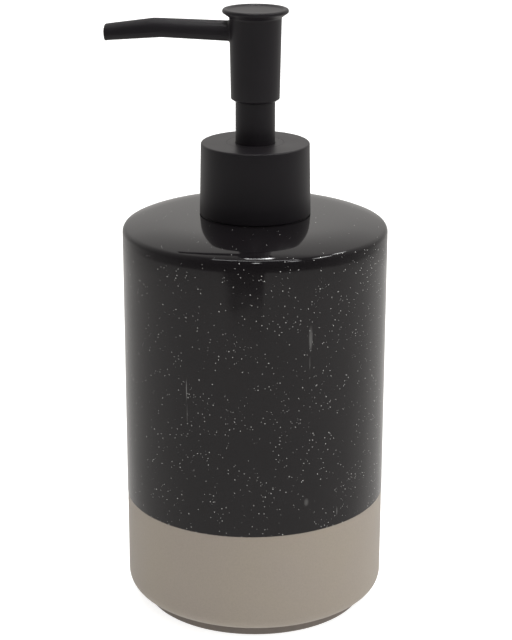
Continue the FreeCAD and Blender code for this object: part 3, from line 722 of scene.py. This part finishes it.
# %% The column
head_low, head_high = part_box("actuator_head")
head_foot = head_low.z / MM
head_top = head_high.z / MM
head_rim = head_high.x / MM
column_foot = STEM + 1.25
column_top = STEM + 1.7
flare_foot = head_top - 2.3
column_outline = softened([
    (0.0, stem_top + 0.2, 0.0), (STEM + 0.03, stem_top + 0.2, 0.0),
    (STEM + 0.03, head_foot + 0.02, 0.1), (column_foot, head_foot + 0.8, 0.3),
    (column_top, flare_foot, 0.7), (head_rim - 0.02, head_top - 1.0, 0.4),
    (head_rim - 0.02, head_top - 0.01, 0.6), (head_rim - 1.1, head_top - 0.01, 0.3),
    (head_rim - 1.9, head_top - 0.45, 1.2), (0.0, head_top - 0.55, 0.0),
])
column_mesh = shaped(TURNING, column_outline, BLACK, Steps=128)

# %% [markdown]
# The spout is a loft. Its section has a low gable on top that rolls over into upright sides,
# and it is rounder underneath. Every ring has the same number of points, whatever its size,
# so that the skin between two rings is plain quads. Its top and its underside each run
# straight and then bend down over a short arc, the underside a little nearer the column.
# The first rings flare out onto the column, as the fillet between the two does, and the
# last ones turn over the edge of the nose and run back into the bore.

# %% The spout's lines and sections
spout_tip = -head_low.x / MM - 0.05
SPOUT_ROOT = 7.2
ROOT_WIDTH = 5.8
TAPER = 1.1
GABLE_SLOPE = 24
FILLET = 0.6
# level below the rim, slope to the bend, reach of the bend, slope after it, half its length
UPPER = (3.46, 0.004, 28.3, -0.151, 0.6)
LOWER = (8.80, 0.018, 25.9, -0.092, 0.8)
TIP_SLOPE = 0.11


def bent_line(reach, below, slope, bend, after, soft):
    """Height at this reach of a line that changes its slope at its bend."""
    past = reach - bend
    round_part = min(max((past + soft) / (2 * soft), 0.0), 1.0)
    turned = soft * round_part ** 2 + max(past - soft, 0.0)
    return head_top - below + slope * (reach - SPOUT_ROOT) + (after - slope) * turned


def section_at(reach):
    """Level, width and height of the spout's section this far from the axis, in mm."""
    top = bent_line(reach, *UPPER)
    bottom = bent_line(reach, *LOWER)
    share = (reach - SPOUT_ROOT) / (spout_tip - SPOUT_ROOT)
    return (top + bottom) / 2, ROOT_WIDTH - TAPER * share, top - bottom


def section_ring(width, height):
    """Points round the spout's section about (0, 0), each with its outward direction."""
    half = width / 2
    level = height / 2
    eaves = level - (half - 0.1) * math.tan(math.radians(GABLE_SLOPE))
    points = softened([
        (half, -0.4 * level, 1.0), (half - 0.1, eaves, 1.15 * level), (0.0, level, 0.2),
        (0.1 - half, eaves, 1.15 * level), (-half, -0.4 * level, 1.0),
        (0.15 - half, -level, 1.0), (half - 0.15, -level, 1.0),
    ], longest=99.0, arc_steps=6)[:-1]
    ring = []
    for index, point in enumerate(points):
        along = points[(index + 1) % len(points)] - points[index - 1]
        ring.append((point, Vector((along.y, -along.x)).normalized()))
    return ring


print("spout in mm: level, width and height at its root",
      [round(value, 2) for value in section_at(SPOUT_ROOT)])

# %% The spout's rings


def fillet_rings():
    """From inside the column's wall, round the fillet, to the spout's own first section."""
    level, width, height = section_at(column_top)
    section = section_ring(width, height)
    rings = []
    for step in range(-1, 7):
        angle = math.radians(15 * max(step, 0))
        spread = FILLET * (1 - math.sin(angle))
        out = FILLET * (1 - math.cos(angle)) - (0.5 if step < 0 else 0.0)
        ring = []
        for point, outward in section:
            grown = point + outward * spread
            up = (level + grown.y - head_foot) / (flare_foot - head_foot)
            wall = column_foot + (column_top - column_foot) * min(up, 1.0)
            x = -math.sqrt(wall ** 2 - grown.x ** 2) - out
            ring.append(Vector((x, grown.x, level + grown.y)))
        rings.append(ring)
    return rings


def body_rings():
    """Sections along the spout, closer together round the bends."""
    rings = []
    reach = column_top + FILLET + 0.6
    while reach < spout_tip - 1.5:
        level, width, height = section_at(reach)
        section = section_ring(width, height)
        rings.append([Vector((-reach, point.x, level + point.y)) for point, _ in section])
        reach += 0.5 if 24 < reach < 30.5 else 1.2
    return rings


def mouth_rings():
    """Over the nose, with its rounder top, and back along the bore."""
    level, width, height = section_at(spout_tip)
    section = section_ring(width, height)
    rings = []
    for degrees in (0, 15, 30, 45, 60, 75, 90):
        inset = 1 - math.sin(math.radians(degrees))
        shrink = 1 - math.cos(math.radians(degrees))
        ring = []
        for point, outward in section:
            nose = 0.25 + 0.4 * max(outward.y, 0.0) ** 2
            near = point - outward * shrink * nose
            x = inset * nose - spout_tip + TIP_SLOPE * (height / 2 - near.y)
            rise = inset * nose * TIP_SLOPE
            ring.append(Vector((x, near.x, level + near.y + rise)))
        rings.append(ring)
    for depth, bore in ((0.0, 1.35), (0.15, 1.25), (14.0, 1.15)):
        ring = []
        for point, _ in section:
            out = point.normalized() * bore
            x = depth - spout_tip + TIP_SLOPE * (height / 2 - out.y)
            ring.append(Vector((x, out.x, level + out.y + depth * TIP_SLOPE)))
        rings.append(ring)
    return rings


def skin(rings):
    """A closed tube through rings with the same number of points each."""
    count = len(rings[0])
    corners = [tuple(point * MM) for ring in rings for point in ring]
    faces = [tuple(range(count)), tuple(range(len(corners) - count, len(corners)))]
    for row in range(len(rings) - 1):
        for index in range(count):
            low, high = row * count, row * count + count
            near, far = index, (index + 1) % count
            faces.append((low + near, low + far, high + far, high + near))
    mesh = bpy.data.meshes.new("tube")
    mesh.from_pydata(corners, [], faces)
    close_up(mesh)
    wear(mesh, BLACK)
    return mesh


spout_mesh = skin(fillet_rings() + body_rings() + mouth_rings())
print("spout:", len(spout_mesh.polygons), "faces")

# %% [markdown]
# Column and spout become one closed skin with an exact Boolean union, as they are one
# moulding, so no hidden faces are left where they meet.

# %% One moulding


def united(first, second):
    """One closed mesh from two closed ones that overlap."""
    objects = [bpy.data.objects.new("shape", mesh) for mesh in (first, second)]
    for item in objects:
        bpy.context.scene.collection.objects.link(item)
    union = objects[0].modifiers.new("union", "BOOLEAN")
    union.operation = "UNION"
    union.solver = "EXACT"
    union.object = objects[1]
    mesh = evaluated_mesh(objects[0])
    bpy.data.objects.remove(objects[1])
    wear(mesh, first.materials[0])
    return mesh


head_mesh = united(column_mesh, spout_mesh)
put_together("pump_head", head_mesh, "plunger", "actuator_head")

# %% [markdown]
# ## The threaded neck and the spring
# The neck's ridge runs one and a half turns and fades into the wall at both ends, as a
# moulded thread does. The spring's end coils lie closed, one wire apart.

# %% The neck insert with its thread
neck_low, neck_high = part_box("neck_insert")
neck_foot = neck_low.z / MM
neck_top = neck_high.z / MM
NECK = 12.5
NECK_BORE = 11.0
SEAT = 13.25
RIDGE = 1.2
ROOT = 0.4
THREAD_PITCH = 4.233
THREAD_TURNS = 1.5
neck_outline = softened([
    (NECK_BORE, neck_foot, 0.3), (SEAT, neck_foot, 0.3), (SEAT, TOP - 1.5, 0.0),
    (15.2, TOP - 1.5, 0.0), (15.2, TOP, 0.2), (NECK, TOP, 0.3), (NECK, neck_top, 0.3),
    (NECK_BORE, neck_top, 0.4),
])
thread_middle = TOP + 4.2
ridge_outline = softened([
    (NECK - ROOT, thread_middle - 1.1, 0.0), (NECK, thread_middle - 1.1, 0.0),
    (NECK + RIDGE, thread_middle - 0.5, 0.2), (NECK + RIDGE, thread_middle + 0.5, 0.2),
    (NECK, thread_middle + 1.1, 0.0), (NECK - ROOT, thread_middle + 1.1, 0.0),
])
neck_mesh = shaped(TURNING, neck_outline, BLACK, Steps=128)
ridge_mesh = shaped(WINDING, ridge_outline, BLACK, Steps=180, Turns=THREAD_TURNS,
                    Pitch=THREAD_PITCH * MM, Root_Radius=(NECK - ROOT) * MM, Run_Out=0.12)
put_together("threaded_neck", united(neck_mesh, ridge_mesh), "bottle",
             "neck_insert")

# %% The return spring
spring_low, spring_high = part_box("return_spring")
ledge = spring_low.z / MM
spring_length = (spring_high.z - spring_low.z) / MM
WIRE = 0.9
COILS = 8.5
coil_radius = spring_high.x / MM - WIRE / 2
coil_section = []
for step in range(13):
    angle = math.tau * step / 12
    coil_section.append(Vector((coil_radius + WIRE / 2 * math.cos(angle),
                                ledge + WIRE / 2 + WIRE / 2 * math.sin(angle))))
spring_mesh = shaped(WINDING, coil_section, STEEL, Steps=400, Turns=COILS, Pitch=WIRE * MM,
                     Closed_Turns=1.0, Stretch=(spring_length - (COILS + 1) * WIRE) * MM,
                     Run_Out=0.001, Root_Radius=coil_radius * MM)
spring = put_together("coil_spring", spring_mesh, "swivel", "return_spring")
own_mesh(spring)
print("spring:", round(spring_length, 2), "mm long at rest")

# %% [markdown]
# ## The pieces that stay as the CAD model has them
# The cylinder, the rod, the piston and the rest are already right in shape, so they keep
# their meshes and only get a finish.

# %% Finishes for the carried-over pieces
KEPT = {
    "neck_bond": SILICONE, "neck_gasket": FOAM, "pump_cylinder": NATURAL,
    "piston_rod": NATURAL, "piston_seal": WAXY, "inlet_ball": GLASS, "dip_tube": WAXY,
}
for name, material in KEPT.items():
    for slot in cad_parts[name].material_slots:
        slot.material = material
    print(name, "wears", material.name)

# %% [markdown]
# ## Floor, light and camera
# The object stands on a plain pale floor under soft light. A dark glossy glaze shows what is
# round it far more than what falls on it, so the surroundings matter: the room is brighter
# behind and to the sides, and dim in front. The floor is an opal board that glows a little,
# so no hard shadow gathers at the foot. It lights everything but isn't mirrored: the mirror
# image is the room's, which the next cell sets for each direction.

# %% The floor
scene = bpy.context.scene
scene.view_settings.view_transform = "Standard"
MOTTLE_SIZE = 1 / 30
FLOOR_GLOW = 0.82


def pale_floor():
    material, tree, where = new_material("pale opal board, lit from below")
    mottle = add(tree, "ShaderNodeTexNoise", {"Vector": where, "Scale": 1 / MOTTLE_SIZE})[0]
    paint = add(tree, "ShaderNodeMix", {
        0: mottle, 6: colour("#bebebd"), 7: colour("#c1c1c0"),
    }, data_type="RGBA")[2]
    finish_material(tree, {
        "Base Color": paint, "Roughness": 0.9, "Specular IOR Level": 0.2,
        "Emission Color": colour("#ffffff"), "Emission Strength": FLOOR_GLOW,
    })
    return material


FLOOR_HALF = 8.0
floor_mesh = bpy.data.meshes.new("floor")
floor_mesh.from_pydata([
    (-FLOOR_HALF, -FLOOR_HALF, 0), (FLOOR_HALF, -FLOOR_HALF, 0),
    (FLOOR_HALF, FLOOR_HALF, 0), (-FLOOR_HALF, FLOOR_HALF, 0),
], [], [(0, 1, 2, 3)])
floor_mesh.materials.append(pale_floor())
floor = bpy.data.objects.new("floor", floor_mesh)
scene.collection.objects.link(floor)
floor.visible_glossy = False
print("floor:", 2 * FLOOR_HALF, "m wide")

# %% [markdown]
# The room is a world shader that gives each direction its brightness. The direction is
# turned so that its angle counts from the front, round by the right. One ramp gives the
# brightness of the pale table all round, which fills the view below a line a little under
# the horizon, and another one gives the brightness of the room above that line: dark in
# front, where the photographer stands, and pale behind. The line dips where they stand, the
# walls are a little dimmer low down, and the ceiling is dim. The camera itself sees a plain
# pale backdrop.

# %% The room
# degrees round from the front, positive to the right, and brightness there
TABLE = [
    (-180, 0.70), (-154, 0.66), (-138, 0.64), (-124, 0.58), (-107, 0.53), (-60, 0.46),
    (20, 0.45), (60, 0.49), (87, 0.53), (107, 0.63), (124, 0.74), (154, 0.72), (180, 0.70),
]
ROOM = [
    (-180, 0.78), (-140, 0.73), (-95, 0.28), (-55, 0.08), (0, 0.02), (55, 0.08), (95, 0.30),
    (140, 0.73), (180, 0.78),
]
# upward part of the direction at the table's edge, half the softness of that line, how far it
# dips, and the upward parts between which the wall and the ceiling change their light
TABLE_EDGE = -0.284
EDGE_SOFTNESS = 0.007
DIP = 0.0235
PHOTOGRAPHER = 2.0
LOW_WALL = (0.12, 0.38, 0.7)
CEILING = (0.8, 0.9, 0.35)
WARM = (1.0, 0.975, 0.945, 1.0)


def room():
    world = bpy.data.worlds.new("pale room")
    world.use_nodes = True
    tree = world.node_tree
    tree.nodes.clear()
    view = add(tree, "ShaderNodeTexCoord")["Generated"]
    turned = add(tree, "ShaderNodeVectorRotate", {
        "Vector": view, "Axis": (0, 0, 1), "Angle": math.radians(-CAMERA_TURN),
    })[0]
    part = add(tree, "ShaderNodeSeparateXYZ", {0: turned})
    front = add(tree, "ShaderNodeMath", {0: part["Y"], 1: -1.0}, operation="MULTIPLY")[0]
    angle = add(tree, "ShaderNodeMath", {0: part["X"], 1: front}, operation="ARCTAN2")[0]
    way_round = add(tree, "ShaderNodeMapRange", {
        "Value": angle, "From Min": -math.pi, "From Max": math.pi,
    })[0]
    levels = []
    for stops in (TABLE, ROOM):
        levels.append(add(tree, "ShaderNodeValToRGB", {0: way_round})[0])
        ramp = levels[-1].node.color_ramp
        while len(ramp.elements) < len(stops):
            ramp.elements.new(0.5)
        for element, (degrees, brightness) in zip(ramp.elements, stops):
            element.position = (degrees + 180) / 360
            element.color = [brightness * channel for channel in WARM]
    lean = add(tree, "ShaderNodeMapRange", {
        "Value": angle, "From Min": math.radians(-33), "From Max": math.radians(-17),
        "To Max": DIP,
    }, interpolation_type="SMOOTHSTEP")[0]
    side = add(tree, "ShaderNodeMapRange", {
        "Value": angle, "From Min": math.radians(PHOTOGRAPHER + 4),
        "From Max": math.radians(PHOTOGRAPHER + 8), "To Min": 1.0, "To Max": 0.0,
    })[0]
    dip = add(tree, "ShaderNodeMath", {0: lean, 1: side}, operation="MULTIPLY")[0]
    height = add(tree, "ShaderNodeMath", {0: part["Z"], 1: dip}, operation="ADD")[0]
    over = add(tree, "ShaderNodeMapRange", {
        "Value": height, "From Min": TABLE_EDGE - EDGE_SOFTNESS,
        "From Max": TABLE_EDGE + EDGE_SOFTNESS,
    }, interpolation_type="SMOOTHSTEP")[0]
    low_wall = add(tree, "ShaderNodeMapRange", {
        "Value": part["Z"], "From Min": LOW_WALL[0], "From Max": LOW_WALL[1],
        "To Min": LOW_WALL[2],
    })[0]
    ceiling = add(tree, "ShaderNodeMapRange", {
        "Value": part["Z"], "From Min": CEILING[0], "From Max": CEILING[1],
        "To Min": 1.0, "To Max": CEILING[2],
    })[0]
    dimmed = add(tree, "ShaderNodeMath", {0: low_wall, 1: ceiling}, operation="MULTIPLY")[0]
    above = add(tree, "ShaderNodeVectorMath", {0: levels[1], "Scale": dimmed},
                operation="SCALE")[0]
    level = add(tree, "ShaderNodeMix", {0: over, 6: levels[0], 7: above},
                data_type="RGBA")[2]
    seen = add(tree, "ShaderNodeLightPath")["Is Camera Ray"]
    shade = add(tree, "ShaderNodeMix", {0: seen, 6: level, 7: colour("#fbfbfa")},
                data_type="RGBA")[2]
    sky = add(tree, "ShaderNodeBackground", {"Color": shade, "Strength": 1.0})[0]
    add(tree, "ShaderNodeOutputWorld", {0: sky})
    return world


scene.world = room()
print("room:", len(scene.world.node_tree.nodes), "nodes")

# %% [markdown]
# The lamps are placed as a photographer thinks of them: so far to the camera's right, so far
# towards the camera, and so high. The large ones only light the object. The narrow ones are
# mirrored as well, and draw the thin bright lines along the shoulder's rounded edge.

# %% The lamps
AIM_HEIGHT = 0.1


def studio_place(right, towards, up):
    """A place given to the camera's right, towards the camera and up, in metres."""
    turn = Matrix.Rotation(math.radians(CAMERA_TURN), 3, "Z")
    return turn @ Vector((right, -towards, up))


def soft_lamp(name, place, width, height, power, mirrored=True):
    """A rectangular lamp that faces the middle of the bottle."""
    light = bpy.data.lights.new(name, "AREA")
    light.shape = "RECTANGLE"
    light.size = width
    light.size_y = height
    light.energy = power
    lamp = bpy.data.objects.new(name, light)
    lamp.location = place
    aim = Vector((0, 0, AIM_HEIGHT)) - place
    lamp.rotation_euler = aim.to_track_quat("-Z", "Y").to_euler()
    lamp.visible_glossy = mirrored
    scene.collection.objects.link(lamp)


def around(turn, rise, distance):
    """A place this far off, at degrees round from the front and degrees up."""
    across = distance * math.cos(math.radians(rise))
    angle = math.radians(turn)
    return studio_place(across * math.sin(angle), across * math.cos(angle),
                        AIM_HEIGHT + distance * math.sin(math.radians(rise)))


LAMP_DISTANCE = 1.5
soft_lamp("overhead softbox", studio_place(0.1, -0.2, 1.8), 1.6, 1.6, 28, mirrored=False)
soft_lamp("side softbox", around(75, 25, LAMP_DISTANCE), 1.0, 0.8, 6, mirrored=False)
soft_lamp("front softbox", around(-4, 45, LAMP_DISTANCE), 1.6, 1.0, 6.6, mirrored=False)
soft_lamp("small lamp in front", around(1, 45, LAMP_DISTANCE), 0.14, 0.1, 1.2)
soft_lamp("long lamp above", around(0, 82, LAMP_DISTANCE), 1.2, 0.1, 3.5)
soft_lamp("strip lamp behind", around(177.6, 66, LAMP_DISTANCE), 0.18, 0.09, 1.3)
for turn, width, power in ((42, 0.22, 1.0), (79, 0.35, 2.0), (112, 0.22, 1.2)):
    soft_lamp(f"window {turn}", around(turn, 50, LAMP_DISTANCE), width, 0.2, power)

# %% [markdown]
# The camera looks down on the bottle a little, from half a metre away, through a long lens
# that flattens it only slightly. Its turn about the upright axis is the one that the room and
# the lamps follow.

# %% The camera
CAMERA_PITCH = 18.36
CAMERA_ROLL = 0.002
CAMERA_DISTANCE = 0.510
CAMERA_HEIGHT = 0.2526
camera_data = bpy.data.cameras.new("camera")
camera_data.sensor_fit = "VERTICAL"
camera_data.sensor_height = 36
camera_data.lens = 106.0
camera_data.clip_start = 0.01
camera = bpy.data.objects.new("camera", camera_data)
camera.location = studio_place(0.0003, CAMERA_DISTANCE, CAMERA_HEIGHT)
aim = Matrix.Rotation(math.radians(CAMERA_TURN), 3, "Z")
aim = aim @ Matrix.Rotation(math.radians(90 - CAMERA_PITCH), 3, "X")
camera.rotation_euler = (aim @ Matrix.Rotation(CAMERA_ROLL, 3, "Z")).to_euler()
scene.collection.objects.link(camera)
scene.camera = camera
print("camera at", [round(value, 3) for value in camera.location])
